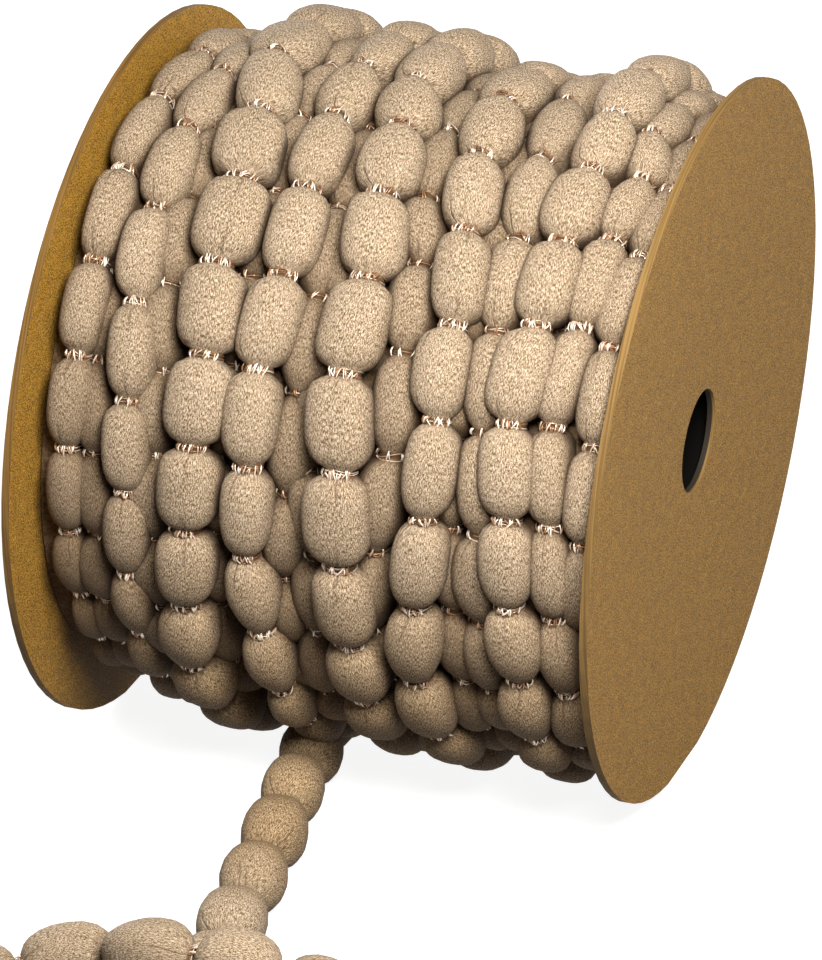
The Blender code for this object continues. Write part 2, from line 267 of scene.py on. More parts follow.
def camera_lines():
    """The camera's place from the axis' middle in mm, and its directions onward, to its right and up."""
    aside, rise = np.radians((CAMERA_ROUND, CAMERA_UP))
    onward = np.array((-np.sin(aside) * np.cos(rise), np.cos(aside) * np.cos(rise), -np.sin(rise)))
    right = np.array((np.cos(aside), np.sin(aside), 0.0))
    return np.array(CAMERA_PLACE) / MM - (0, 0, AXIS_HEIGHT), onward, right, np.cross(right, onward)


def seen_on_winding(pixels, radius):
    """Places along the axis and angles where the camera's lines through pixels meet the winding.

    A radius in mm goes with each pixel. A line's length solves a quadratic, by its nearer root.
    """
    start, onward, right, up = camera_lines()
    across, down = np.transpose(pixels) - PHOTO_MIDDLE[:, None]
    line = PHOTO_FOCAL * onward + across[:, None] * right - down[:, None] * up
    square = line[:, 1] ** 2 + line[:, 2] ** 2
    half_way = start[1] * line[:, 1] + start[2] * line[:, 2]
    under = half_way**2 - square * (start[1] ** 2 + start[2] ** 2 - radius**2)
    found = start + ((-half_way - np.sqrt(np.maximum(under, 0))) / square)[:, None] * line
    return found[:, 0] - LEAN * found[:, 2], np.degrees(np.arctan2(found[:, 2], -found[:, 1]))


def seen_at(places):
    """Where places in metres show, in pixels: aside and up, each over the distance onward."""
    start, onward, right, up = camera_lines()
    line = places / MM - (0, 0, AXIS_HEIGHT) - start
    spot = np.stack([line @ right, -(line @ up)], -1) / (line @ onward)[:, None]
    return PHOTO_MIDDLE + PHOTO_FOCAL * spot


def at_top(degrees):
    """How near the front of the spool's top an angle is, from 0 to 1, by the cosine from its middle."""
    return np.clip((np.cos(np.radians(degrees - TOP_MIDDLE)) - TOP_FROM) / TOP_BLEND, 0, 1)


def neck_depth(degrees):
    """A neck's share of its bead's thickness, by its angle round the spool."""
    return NECK_DEEP + TOP_NECK * at_top(degrees)


def column_rows(ridges, halves, pixels, crest=()):
    """One column's waists, and those behind its first one, as rows of angle, place, ridge and half width.

    A neck's depth needs its angle, so the waists are found once with the common depth and
    then with their own.
    """
    share = np.linspace(0, 2, len(pixels))
    ridge, half = (np.interp(share, (0, 1, 2), part) for part in (ridges, halves))
    ridge[:1] = crest[:1] or ridge[:1]
    _, angle = seen_on_winding(pixels, ridge - WOUND_DEPTH * (1 - NECK_DEEP))
    place, angle = seen_on_winding(pixels, ridge - WOUND_DEPTH * (1 - neck_depth(angle)))
    behind = np.arange(len(crest) - 1, 0, -1)
    same = np.ones(len(behind))
    past = [angle[0] + CREST_PITCH * behind, place[0] * same, np.array(crest)[behind], half[0] * same]
    return np.concatenate([np.stack(past, -1), np.stack([angle, place, ridge, half], -1)])


def chain_of(columns, before, after):
    """A chain's turned angle, which only falls, and its place, ridge, bead count and half width there.

    Each waist that shows has a whole count, and the turn behind the winding that joins two
    columns has as many beads as fit it best.
    """
    rows, counts = [np.array(before)], [np.zeros(len(before))]
    for number, column in enumerate(columns):
        there = column_rows(*column)
        there[:, 0] -= WHOLE_TURN * number
        hidden = max(np.round((rows[-1][-1, 0] - there[0, 0]) / UNSEEN_PITCH), 1)
        counts.append(counts[-1][-1] + hidden + np.arange(len(there)))
        rows.append(there)
    ending = np.array(after) - (WHOLE_TURN * (len(columns) - 1), 0, 0, 0)
    counts.append(counts[-1][-1] + np.round((rows[-1][-1, 0] - ending[:, 0]) / UNSEEN_PITCH))
    rows.append(ending)
    counts, rows = np.concatenate(counts), np.concatenate(rows)
    even = np.arange(counts[0], counts[-1] + A_HAIR, 1 / COUNTS_A_BEAD)
    angle, place, ridge, half = (smoothed(np.interp(even, counts, part), EASING) for part in rows.T)
    return angle, np.stack([place, ridge, even, half])


def exit_chain():
    """The chain of the turn that leads out, as chain_of gives one, read at every degree."""
    angles, x, ridge, half = np.array(EXIT_TURN).T
    count = (angles[0] - angles) / EXIT_PITCH
    even = np.arange(angles[0], angles[-1], -1.0)
    parts = (smoothed(np.interp(-even, -angles, part), EXIT_EASING) for part in (x, ridge, count, half))
    return even, np.stack(list(parts))


def parted(x, angles):
    """The places of turns that make room for the turn that leads out.

    They move aside by an amount that falls off with their distance from it, exponentially, and
    with their angle from its middle, as a power of the cosine.
    """
    round_the_back = np.clip(np.cos(np.radians(angles - PARTED_ROUND)), 0, 1) ** PARTED_POWER
    aside = np.sign(x - PARTED_AT) * np.exp(-np.abs(x - PARTED_AT) / PARTED_REACH)
    return x + PARTED_BY * aside * round_the_back


def parted_chain(columns, before, after):
    """A chain of turns that make room for the turn that leads out."""
    angle, (place, *others) = chain_of(columns, before, after)
    return angle, np.stack([parted(place, angle), *others])


def plump(place, blunt, ends, neck):
    """How far a bead has swelled, from 0 on its necks to 1, by its share of the way from waist to waist.

    One less the distance from its middle to a power, all to a power under one, gives blunt ends.
    Both ends are blunter by what is given.
    """
    across = np.clip(np.abs(2 * (place % 1.0) - 1) / (1 - neck), 0, 1)
    head, tail = ((1 - across ** (power + blunt)) ** root for power, root in ends)
    return np.where(place % 1.0 < 0.5, head, tail)


def beaded_rings(beads, sides, half, depth, seed, thin, ends, neck, blunter=0.0):
    """Sideways and outward offsets for each ring and corner, and how far round each corner is, in mm.

    A ring is a rounded oval whose two half widths swell with the bead: the sine and the cosine
    of a corner's angle, each to a power under one. Each bead also has its own size, place and a
    few low lumps, waves round it that fade out towards its necks, where it is pleated.
    """
    chance = np.random.default_rng(seed)
    whole = np.floor(beads + A_HAIR).astype(int)
    whole = whole - whole.min()
    own = chance.normal(size=(whole.max() + 1, OWN_NUMBERS))[whole]
    blunt = WIDE_BLUNTS * np.clip(half - WIDE_FROM, 0, 1) * (ends is WOUND_ENDS)
    blunt = blunt + BLUNT_VARIES * np.clip(own[:, 0], -BLUNT_MOST, BLUNT_MOST) + blunter
    swell = plump(beads, blunt, ends, neck)
    wide = half * (thin[0] + (1 - thin[0]) * swell) * (1 + WIDTH_VARIES * own[:, 1] * swell)
    deep = depth * (thin[1] + (1 - thin[1]) * swell) * (1 + DEPTH_VARIES * own[:, 2] * swell)
    corner = 2 * np.pi * np.arange(sides + 1) / sides
    corner = corner - CORNER_CROWDING * np.sin(corner)
    lumps = sum(
        (LUMP * own[:, 3 + lump, None])
        * np.cos((lump + 2) * corner + LUMP_TURN * own[:, 3 + (lump + 1) % 4, None])
        for lump in range(LUMPS)
    )
    place = beads % 1.0
    folds = np.exp(-np.minimum(place, 1 - place) / PLEAT_REACH) * (1 - np.exp(-swell / PLEAT_FADE))
    turned = PLEATS * corner + PLEAT_TURN * own[:, 6, None] + PLEAT_SLANT * place[:, None]
    pleats = PLEAT * np.cos(turned) * folds[:, None]
    growth = 1 + lumps * swell[:, None] + pleats
    sine, cosine = np.sin(corner), np.cos(corner)
    aside = wide[:, None] * np.sign(sine) * np.abs(sine) ** SECTION_POWER * growth
    out = deep[:, None] * np.sign(cosine) * np.abs(cosine) ** SECTION_POWER * growth
    aside = aside + (SIDE_VARIES * own[:, 7] * swell)[:, None]
    round_way = corner * np.mean(half + depth) / 2
    return aside, out, np.broadcast_to(round_way, aside.shape)


def shown(name, data):
    """A new object in the scene."""
    made = bpy.data.objects.new(name, data)
    bpy.context.scene.collection.objects.link(made)
    return made


def mesh_of(name, points, faces, material, uv=None, floats=()):
    """A smooth mesh object on the root body, from points in metres and faces as corner numbers."""
    mesh = bpy.data.meshes.new(name)
    mesh.from_pydata(points.reshape(-1, 3).tolist(), [], faces)
    if uv is not None:
        mesh.uv_layers.new(name="cord").data.foreach_set("uv", uv.astype(np.float32).reshape(-1))
    for label, values in floats:
        layer = mesh.attributes.new(label, "FLOAT", "POINT")
        layer.data.foreach_set("value", values.astype(np.float32).reshape(-1))
    mesh.materials.append(material)
    mesh.shade_smooth()
    mesh.update()
    made = shown(name, mesh)
    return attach(made, "root")


def tube_faces(count, rings, sides):
    """Corner numbers of the four-sided faces along many tubes, and of the two faces that close each."""
    index = np.arange(count * rings * sides).reshape(count, rings, sides)
    here, further = index[:, :-1], index[:, 1:]
    walls = np.stack([here, np.roll(here, -1, 2), np.roll(further, -1, 2), further], -1).reshape(-1, 4)
    return walls, index[:, 0, ::-1].tolist() + index[:, -1].tolist()


def beaded_tube(name, rings, round_way, along, beads, material, floats=()):
    """One closed tube from its rings of points.

    Its map runs round and along it in mm, one attribute counts beads, and each of the floats
    gives another, with a value a ring.
    """
    count, sides = rings.shape[0], rings.shape[1] - 1
    walls, ends = tube_faces(1, count, sides)
    near, next_one = round_way[:-1], round_way[1:]
    corner_u = np.stack([near[:, :-1], near[:, 1:], next_one[:, 1:], next_one[:, :-1]], -1)
    far = np.broadcast_to(along[:, None], (count, sides))
    corner_v = np.stack([far[:-1], far[:-1], far[1:], far[1:]], -1)
    walls_uv = np.stack([corner_u, corner_v], -1).reshape(-1, 2)
    uv = np.concatenate([walls_uv, np.zeros((2 * sides, 2))])
    given = [(label, np.repeat(values, sides)) for label, values in (("bead", beads), *floats)]
    return mesh_of(name, rings[:, :-1], walls.tolist() + ends, material, uv, given)


def stations_of(first, last, shares):
    """Bead counts at the given shares of each bead, from the first waist to the last."""
    return np.append((np.arange(first, last)[:, None] + shares).reshape(-1), last)


def wound_beads(name, chain, shares, sides, material, beads_made=None):
    """A chain of beads wound round the spool, as one tube: rings square to the turn, carried along it.

    Gives the object and its waists' angle, place, centre and half width.
    """
    even, (x, ridge, count, half) = chain
    first, last = (0, beads_made) if beads_made else (int(count[0]), int(count[-1]))
    beads = stations_of(first, last, shares)
    angle, place, crest, wide = (np.interp(beads, count, part) for part in (even, x, ridge, half))
    centre = crest - WOUND_DEPTH
    low = np.clip((LOW_FROM - np.sin(np.radians(angle))) / LOW_BLEND, 0, 1)
    aside, out, round_way = beaded_rings(
        beads, sides, wide, WOUND_DEPTH, BEAD_SEEDS[name], (NECK_WIDE, neck_depth(angle)),
        WOUND_ENDS, WOUND_NECK, -LOW_TAPER * low - TOP_TAPER * at_top(angle),
    )
    # a bead next to a flange is pressed flat against it
    radius = centre[:, None] + out
    limit = flange_face(radius) - BOARD - GAP
    across = np.clip(place[:, None] - aside, -limit, limit)
    rings = on_spool(across, radius, angle[:, None])
    along = np.radians(even[0] - angle) * MAP_RADIUS
    made = beaded_tube(name, rings, round_way, along, beads, material)
    waists = np.arange(first, last + 1)
    return made, [np.interp(waists, count, part) for part in (even, x, ridge - WOUND_DEPTH, half)]


def thread_tubes(paths, thickness, tones):
    """Points and tones of thin closed tubes, from the points of their centre lines, one row a thread.

    A ring has its corners on two directions square to the line, and shrinks at the ends.
    """
    count, long, _ = paths.shape
    run = unit(np.gradient(paths, axis=1))
    # a direction that is never along the line
    helper = np.where(np.abs(run[..., :1]) < 0.8, (1.0, 0.0, 0.0), (0.0, 0.6, 0.8))
    first = unit(np.cross(run, helper))
    second = np.cross(run, first)
    taper = np.ones(long)
    taper[[0, -1]] = THREAD_TIP
    turn = np.arange(THREAD_SIDES) * 2 * np.pi / THREAD_SIDES
    reach = (thickness[:, None] * taper)[..., None, None]
    ring = first[:, :, None] * np.cos(turn)[:, None] + second[:, :, None] * np.sin(turn)[:, None]
    points = paths[:, :, None] + reach * ring
    return points, np.broadcast_to(tones[:, None, None], (count, long, THREAD_SIDES))


def join_threads(name, groups, material):
    """One object from several groups of thin tubes."""
    points, faces, tones, base = [], [], [], 0
    for tube_points, tube_tones in groups:
        walls, ends = tube_faces(*tube_points.shape[:3])
        faces += (walls + base).tolist() + [[corner + base for corner in end] for end in ends]
        points.append(tube_points.reshape(-1, 3))
        tones.append(tube_tones.reshape(-1))
        base += len(points[-1])
    tones = [("tone", np.concatenate(tones))]
    return mesh_of(name, np.concatenate(points), faces, material, floats=tones)


def evenly(number, many, spread):
    """The place of one of many that stand evenly over a spread, from its middle."""
    return (number - (many - 1) / 2) * spread / max(many - 1, 1)


def varied(chance, share, size):
    """Random numbers from the least share up to as much more as it may be."""
    least, more = share
    return least + more * chance.random(size)


def bind_waists(place_at, half, depth, wraps, bridges, seed):
    """Groups of threads that bind waists.

    place_at(aside, out, forward) turns offsets in mm, one row a waist, into points. A wrap goes
    round the outer side of the neck on an oval. A bridge bows from bead to bead by a parabola.
    """
    chance = np.random.default_rng(seed)
    many = len(half)
    around = np.radians(np.linspace(-WRAP_ROUND, WRAP_ROUND, WRAP_POINTS))
    line = np.linspace(-1, 1, BRIDGE_POINTS)
    groups = []

    def laid(where, lift, forward):
        """Points lifted off an oval round the neck, at an angle and so far forward."""
        aside = (half[:, None] + lift) * np.sin(where)
        out = (depth[:, None] + lift) * np.cos(where)
        return place_at(aside, out, forward)

    for number in range(wraps):
        level = evenly(number, wraps, WRAP_SPREAD)
        sway = chance.normal(size=(many, 1))
        sway = sway * np.sin(WRAP_WAVES * around + chance.uniform(0, WRAP_PHASE, (many, 1)))
        lift = THREAD_LIFT * varied(chance, WRAP_LIFTS, (many, 1))
        forward = level + WRAP_STRAYS * chance.normal(size=(many, 1)) + WRAP_SWAYS * sway
        thickness = WRAP_THICK * MM * varied(chance, WRAP_SIZES, many)
        tones = varied(chance, WRAP_TONES, many)
        groups.append(thread_tubes(laid(around, lift, forward), thickness, tones))
    for number in range(bridges):
        middle = evenly(number, bridges, BRIDGE_FAN) + BRIDGE_STRAYS * chance.normal(size=(many, 1))
        reach = BRIDGE_REACH * varied(chance, BRIDGE_LENGTHS, (many, 1))
        shift = BRIDGE_SHIFTS * chance.normal(size=(many, 1))
        for strand in range(STRANDS):
            apart = STRAND_GAP * (strand - (STRANDS - 1) / 2)
            where = np.radians(middle + apart) + BRIDGE_SLANT * chance.normal(size=(many, 1)) * line
            bow = BRIDGE_BOW * THREAD_LIFT * varied(chance, BRIDGE_LIFTS, (many, 1))
            paths = laid(where, bow * (BRIDGE_TOP - line**2), reach * line + shift)
            thickness = BRIDGE_THICK * MM * varied(chance, BRIDGE_SIZES, many)
            tones = BRIDGE_TONE * chance.random(many) ** TONE_POWER
            groups.append(thread_tubes(paths, thickness, tones))
    return groups


def wound_threads(waists, binding):
    """The binding threads of a wound chain's waists."""
    angle, place, centre, half = waists

    def place_at(aside, out, forward):
        """Points on the spool, an arc's length forward of each waist on their own radius."""
        radius = centre[:, None] + out
        return on_spool(place[:, None] - aside, radius, angle[:, None] - np.degrees(forward / radius))

    return bind_waists(place_at, half * NECK_WIDE, WOUND_DEPTH * neck_depth(angle), *binding)


def smooth_route():
    """Places in metres on a smooth curve through the route's points, and how far along in mm each is.

    Between two points it is a cubic, whose slope at each is half the way between its neighbours.
    """
    points = np.array(ROUTE)
    padded = np.vstack([2 * points[0] - points[1], points, 2 * points[-1] - points[-2]])
    share = np.linspace(0, 1, ROUTE_STEPS, endpoint=False)[:, None]
    runs = []
    for before, start, end, after in zip(padded, padded[1:], padded[2:], padded[3:]):
        bend = (2 * before - 5 * start + 4 * end - after) * share**2
        twist = (3 * start - before - 3 * end + after) * share**3
        runs.append(start + 0.5 * ((end - before) * share + bend + twist))
    places = np.vstack([*runs, points[-1:]])
    steps = np.linalg.norm(np.diff(places, axis=0), axis=1)
    return places * MM, np.append(0, np.cumsum(steps))


def route_frame(distance, places, along):
    """At distances along the route: the place, and the directions along it, sideways and up from it."""
    def place_at(far):
        """Places in metres at distances along the route, read straight between its own."""
        return np.stack([np.interp(far, along, places[:, axis]) for axis in range(3)], -1)

    run = unit(place_at(distance + ROUTE_NUDGE) - place_at(distance - ROUTE_NUDGE))
    sideways = unit(np.cross(run, (0.0, 0.0, 1.0)))
    return place_at(distance), run, sideways, np.cross(sideways, run)


def rgb(*parts):
    """A colour that covers fully."""
    return (*parts, 1.0)


def node(tree, kind, inputs=(), **settings):
    """A new node. Each input, by name or number, is a value or another node's output."""
    made = tree.nodes.new("ShaderNode" + kind)
    for key, value in settings.items():
        setattr(made, key, value)
    for key, value in dict(inputs).items():
        if isinstance(value, bpy.types.NodeSocket):
            tree.links.new(value, made.inputs[key])
        else:
            made.inputs[key].default_value = value
    return made


def maths(tree, operation, *terms):
    """One operation on numbers."""
    return node(tree, "Math", dict(enumerate(terms)), operation=operation).outputs[0]


def plus(tree, first, second):
    """The sum of two numbers."""
    return maths(tree, "ADD", first, second)


def times(tree, first, second):
    """The product of two numbers."""
    return maths(tree, "MULTIPLY", first, second)


def vector_maths(tree, operation, *terms):
    """One operation on vectors. Their length is a number."""
    made = node(tree, "VectorMath", dict(enumerate(terms)), operation=operation)
    return made.outputs["Value" if operation == "LENGTH" else "Vector"]


def split_up(tree, vector):
    """A vector's X, Y and Z."""
    return node(tree, "SeparateXYZ", {0: vector}).outputs


def object_place(tree):
    """The place on the piece, in metres."""
    return node(tree, "TexCoord").outputs["Object"]


def attribute(tree, name):
    """A number that the mesh carries, or nought."""
    return node(tree, "Attribute", attribute_name=name).outputs["Fac"]


def ranged(tree, value, low, high, to_low=0.0, to_high=1.0):
    """The value carried from one range to another, and kept inside it."""
    given = {"Value": value, "From Min": low, "From Max": high, "To Min": to_low, "To Max": to_high}
    return node(tree, "MapRange", given, interpolation_type="SMOOTHSTEP").outputs["Result"]


def mixed(tree, share, first, second, blend="MIX"):
    """The first colour with a share of the second in it, or multiplied by it."""
    given = {0: share, 6: first, 7: second}
    return node(tree, "Mix", given, data_type="RGBA", blend_type=blend).outputs[2]


def stained_or_shaded(tree, colour, overlays):
    """The colour with stains or painted shade laid over it in turn: where each lies, how strong it is, and
    its colour.
    """
    for share, strength, overlay in overlays:
        colour = mixed(tree, times(tree, share, strength), colour, rgb(*overlay))
    return colour


def shades_of(tree, value, lowest, *others):
    """The colour of a value between shades, each given with the value at which it stands."""
    ramp = node(tree, "ValToRGB", {0: value})
    stops = ramp.color_ramp.elements
    stops.remove(stops[1])
    stops[0].position, stops[0].color = lowest[0], rgb(*lowest[1])
    for position, shade in others:
        stops.new(position).color = rgb(*shade)
    return ramp.outputs["Color"]


def noise(tree, vector, scale, detail=2.0, roughness=0.5, distortion=0.0):
    """Soft noise from 0 to 1, mostly near the middle."""
    given = dict(Vector=vector, Scale=scale, Detail=detail, Roughness=roughness, Distortion=distortion)
    return node(tree, "TexNoise", given).outputs["Fac"]


def raised(tree, shader, height, strength, distance):
    """Bumps on the surface, by their height from 0 to 1 and its distance in mm."""
    given = {"Height": height, "Strength": strength, "Distance": distance * MM}
    bump = node(tree, "Bump", given)
    tree.links.new(bump.outputs["Normal"], shader.inputs["Normal"])


def new_material(name, **values):
    """A material, its nodes and its shader, with the shader's even values set."""
    made = bpy.data.materials.new(name)
    made.use_nodes = True
    shader = made.node_tree.nodes["Principled BSDF"]
    for key, value in values.items():
        shader.inputs[key.replace("_", " ")].default_value = value
    return made, made.node_tree, shader


def fine_grain_group():
    """Streaks, specks and clouds, three noises of the vector that is given: a tone and a height."""
    group = bpy.data.node_groups.new("fine_grain", "ShaderNodeTree")
    group.interface.new_socket("Vector", in_out="INPUT", socket_type="NodeSocketVector")
    for label, value in (("Streaks", 1.0), ("Specks", 2.0), ("Clouds", 0.1)):
        made = group.interface.new_socket(label, in_out="INPUT", socket_type="NodeSocketFloat")
        made.default_value = value
    for label in ("Tone", "Height"):
        group.interface.new_socket(label, in_out="OUTPUT", socket_type="NodeSocketFloat")
    given = group.nodes.new("NodeGroupInput").outputs
    streaks = noise(group, given["Vector"], given["Streaks"], 3.0, 0.6, 0.4)
    specks = noise(group, given["Vector"], given["Specks"], 2.0, 0.7)
    clouds = noise(group, given["Vector"], given["Clouds"], 2.0, 0.5)
    body = plus(group, times(group, streaks, 0.47), times(group, specks, 0.47))
    result = group.nodes.new("NodeGroupOutput").inputs
    group.links.new(plus(group, body, times(group, clouds, 0.06)), result["Tone"])
    group.links.new(body, result["Height"])
    return group


def grain(tree, group, vector, streaks, specks, clouds):
    """The fine grain's tone and height at three scales."""
    made = node(tree, "Group", node_tree=group)
    tree.links.new(vector, made.inputs["Vector"])
    for label, value in (("Streaks", streaks), ("Specks", specks), ("Clouds", clouds)):
        made.inputs[label].default_value = value
    return made.outputs


def away_from_axis(tree):
    """How far from the axis a place lies, in metres: its length without the part along X."""
    from_axis = vector_maths(tree, "ADD", object_place(tree), (0.0, 0.0, -AXIS_HEIGHT * MM))
    return vector_maths(tree, "LENGTH", vector_maths(tree, "MULTIPLY", from_axis, (0.0, 1.0, 1.0)))


def bobble_cloth(group):
    """Crepe cloth: fine pebbles, faint lengthwise streaks, and a tint and a crease for each bead.

    Painted shade makes it browner in its creases, gathers and necks, where it is sunk in the winding, low
    down, where other cloth is near, and where each bead of the run that leads away starts.
    """
    made, tree, shader = new_material(
        "bobble_cloth", Roughness=0.82, Specular_IOR_Level=0.2,
        Sheen_Weight=0.02, Sheen_Roughness=0.45, Sheen_Tint=rgb(1.0, 0.93, 0.84),
    )
    where = node(tree, "UVMap", uv_map="cord").outputs["UV"]
    round_cord = split_up(tree, where)["X"]
    bead = attribute(tree, "bead")
    along_bead = maths(tree, "FRACT", bead)
    own = node(tree, "TexWhiteNoise", {"W": maths(tree, "FLOOR", bead)}, noise_dimensions="1D")
    own = own.outputs["Value"]
    # from 0 in a bead's middle to 1 on a waist
    off_middle = maths(tree, "ABSOLUTE", maths(tree, "MULTIPLY_ADD", along_bead, 2.0, -1.0))
    near_end = ranged(tree, off_middle, 0.40, 0.95)
    in_neck = ranged(tree, off_middle, 0.90, 0.975)

    # gathers: a wavering row of folds round the cord, near its waists
    wander = times(tree, noise(tree, where, 0.5, 1.0), 5.0)
    wavering = plus(tree, times(tree, round_cord, 2.3), plus(tree, wander, times(tree, own, 20.0)))
    folded = maths(tree, "ABSOLUTE", maths(tree, "SINE", wavering))
    gathers = times(tree, ranged(tree, folded, 0.0, 0.45, 1.0, 0.0), near_end)
    # one crease on each bead, running in from a waist
    crease_at = plus(tree, plus(tree, times(tree, own, 7.0), -3.5), times(tree, wander, 0.25))
    from_crease = maths(tree, "SUBTRACT", maths(tree, "WRAP", round_cord, 12.0, -12.0), crease_at)
    crease = ranged(tree, maths(tree, "ABSOLUTE", from_crease), 0.0, 0.28, 1.0, 0.0)
    crease = times(tree, crease, ranged(tree, off_middle, 0.15, 0.7))

    spot = vector_maths(tree, "MULTIPLY", object_place(tree), (1.9 / MM, 0.85 / MM, 0.85 / MM))
    pile = grain(tree, group, spot, 7.8, 14.0, 1.1)
    stretched = vector_maths(tree, "MULTIPLY", where, (1.4, 0.34, 1.0))
    streaks = noise(tree, stretched, 7.0, 1.0)
    tone = plus(tree, times(tree, pile["Tone"], 0.68), times(tree, streaks, 0.32))
    tone = plus(tree, tone, times(tree, maths(tree, "SUBTRACT", own, 0.5), 0.007))
    shaded = shades_of(
        tree, tone,
        (0.43, (0.058, 0.030, 0.0075)), (0.50, (0.252, 0.180, 0.109)), (0.565, (0.605, 0.476, 0.354)),
    )
    # painted shade: the run that leads away from the spool is browner where each bead starts
    start_shade = times(tree, ranged(tree, along_bead, 0.05, 0.62, 1.0, 0.0), attribute(tree, "painted_shade_run"))
    # painted shade: darker brown the deeper a turn lies in the winding
    sunk_shade = ranged(tree, away_from_axis(tree), *SUNK_SHADE_RADII, 1.0, 0.0)
    # painted shade: these stains darken the cloth in its creases, gathers and necks, at the start of each
    # leading-away bead, and in sunk turns
    shaded = stained_or_shaded(tree, shaded, (
        (crease, 0.50, (0.10, 0.06, 0.032)),
        (gathers, 0.20, (0.14, 0.09, 0.045)),
        (in_neck, 0.92, (0.07, 0.033, 0.012)),
        (start_shade, 0.62, (0.125, 0.070, 0.025)),
        (sunk_shade, 0.62, (0.072, 0.038, 0.013)),
    ))
    place = split_up(tree, object_place(tree))
    # painted shade: browner low down on the spool, though not on the loose end in front
    low_shade = ranged(tree, place["Z"], *LOW_SHADE_HEIGHTS, 1.0, 0.0)
    low_shade = times(tree, low_shade, ranged(tree, place["Y"], *SPOOL_FRONT))
    shaded = mixed(tree, low_shade, shaded, rgb(0.93, 0.85, 0.70), "MULTIPLY")
    # painted shade: darkest where other cloth is near, by its occlusion
    opening = node(tree, "AmbientOcclusion", {"Distance": CREVICE * MM}, samples=6)
    deep = ranged(tree, opening.outputs["AO"], 0.10, 0.74, 1.0, 0.0)
    shaded = stained_or_shaded(tree, shaded, ((deep, 0.95, (0.034, 0.014, 0.003)),))
    tree.links.new(shaded, shader.inputs["Base Color"])

    dents = plus(tree, times(tree, gathers, 0.45), times(tree, crease, 0.8))
    raised(tree, shader, maths(tree, "SUBTRACT", pile["Height"], dents), 0.8, 0.20)
    return made


def shaded_inner_cloth(group):
    """The turns deep inside, a darker copy of the cloth as painted shade, and painted all but black round
    their bore as shade.
    """
    made, tree, shader = new_material("shaded_inner_cloth", Roughness=0.95, Specular_IOR_Level=0.1)
    pile = grain(tree, group, object_place(tree), 1400.0, 3200.0, 90.0)
    tone = ranged(tree, pile["Tone"], 0.35, 0.65)
    brown = mixed(tree, tone, rgb(0.06, 0.036, 0.019), rgb(0.17, 0.108, 0.060))
    # painted shade: all but black near the bore
    past_bore = ranged(tree, away_from_axis(tree), 1.2 * BORE_RADIUS * MM, 2.4 * BORE_RADIUS * MM)
    colour = mixed(tree, past_bore, rgb(0.002, 0.0015, 0.001), brown)
    tree.links.new(colour, shader.inputs["Base Color"])
    raised(tree, shader, pile["Height"], 0.5, 0.2)
    return made


def metallic_thread():
    """Rose-gold film thread, from cream to copper by each thread's own tone."""
    made, tree, shader = new_material("metallic_thread", Metallic=0.45, Roughness=0.35)
    flicker = noise(tree, object_place(tree), 2200.0, 1.0)
    share = ranged(tree, plus(tree, attribute(tree, "tone"), times(tree, flicker, 0.8)), 0.35, 1.12)
    colour = mixed(tree, share, rgb(0.90, 0.78, 0.65), rgb(0.27, 0.140, 0.070))
    tree.links.new(colour, shader.inputs["Base Color"])
    tree.links.new(ranged(tree, flicker, 0.3, 0.7, 0.2, 0.45), shader.inputs["Roughness"])
    return made


def kraft_board(group):
    """Unbleached board: mottled, with pale and dark fibres, and thin plies on its cut edges."""
    made, tree, shader = new_material("kraft_board", Roughness=0.82, Specular_IOR_Level=0.25)
    where = object_place(tree)
    lying = vector_maths(tree, "MULTIPLY", where, (0.0, 1.0, 1.6))
    pulp = grain(tree, group, lying, 3300.0, 6000.0, 450.0)
    dark, light = (0.475, (0.070, 0.032, 0.0036)), (0.525, (0.395, 0.203, 0.0210))
    colour = shades_of(tree, pulp["Tone"], dark, light)
    height = pulp["Height"]
    fibres = ((0.5, (0.58, 0.36, 0.085)), (-0.7, (0.13, 0.065, 0.014)), (1.35, (0.54, 0.32, 0.065)))
    for turned, shade in fibres:
        laid = {"Vector": where, "Rotation": (turned, 0.0, 0.0), "Scale": (0.0, 600.0, 2900.0)}
        laid = node(tree, "Mapping", laid).outputs[0]
        fibre = ranged(tree, noise(tree, laid, 1.0, 1.0, 0.5, 0.6), 0.66, 0.74)
        colour = stained_or_shaded(tree, colour, ((fibre, 0.3, shade),))
        height = plus(tree, height, times(tree, fibre, 0.25))
    sheets = vector_maths(tree, "MULTIPLY", where, (6200.0, 60.0, 60.0))
    plies = ranged(tree, noise(tree, sheets, 1.0, 2.0), 0.35, 0.65)
    # painted shade: the left board's edge is a little browner than the right one's
    pale = mixed(tree, plies, rgb(0.110, 0.060, 0.015), rgb(0.190, 0.110, 0.034))
    shaded_left_edge = mixed(tree, plies, rgb(0.100, 0.050, 0.010), rgb(0.180, 0.094, 0.020))
    split = split_up(tree, where)
    edge = mixed(tree, ranged(tree, split["X"], -0.01, 0.01), shaded_left_edge, pale)
    # painted shade: the hole's wall is near black, but for its outermost ply
    rise = maths(tree, "SUBTRACT", split["Z"], AXIS_HEIGHT * MM)
    upright = maths(tree, "ABSOLUTE", maths(tree, "SUBTRACT", split["X"], times(tree, rise, LEAN)))
    near_hole = maths(tree, "LESS_THAN", away_from_axis(tree), 1.5 * HOLE_RADIUS * MM)
    inward = maths(tree, "LESS_THAN", upright, (flange_face(HOLE_RADIUS) - OUTER_PLY) * MM)
    edge = mixed(tree, times(tree, near_hole, inward), edge, rgb(0.018, 0.013, 0.008))
    facing = split_up(tree, node(tree, "NewGeometry").outputs["Normal"])["X"]
    cut = ranged(tree, maths(tree, "ABSOLUTE", facing), 0.35, 0.6, 1.0, 0.0)
    tree.links.new(mixed(tree, cut, colour, edge), shader.inputs["Base Color"])
    raised(tree, shader, height, 0.35, 0.12)
    return made


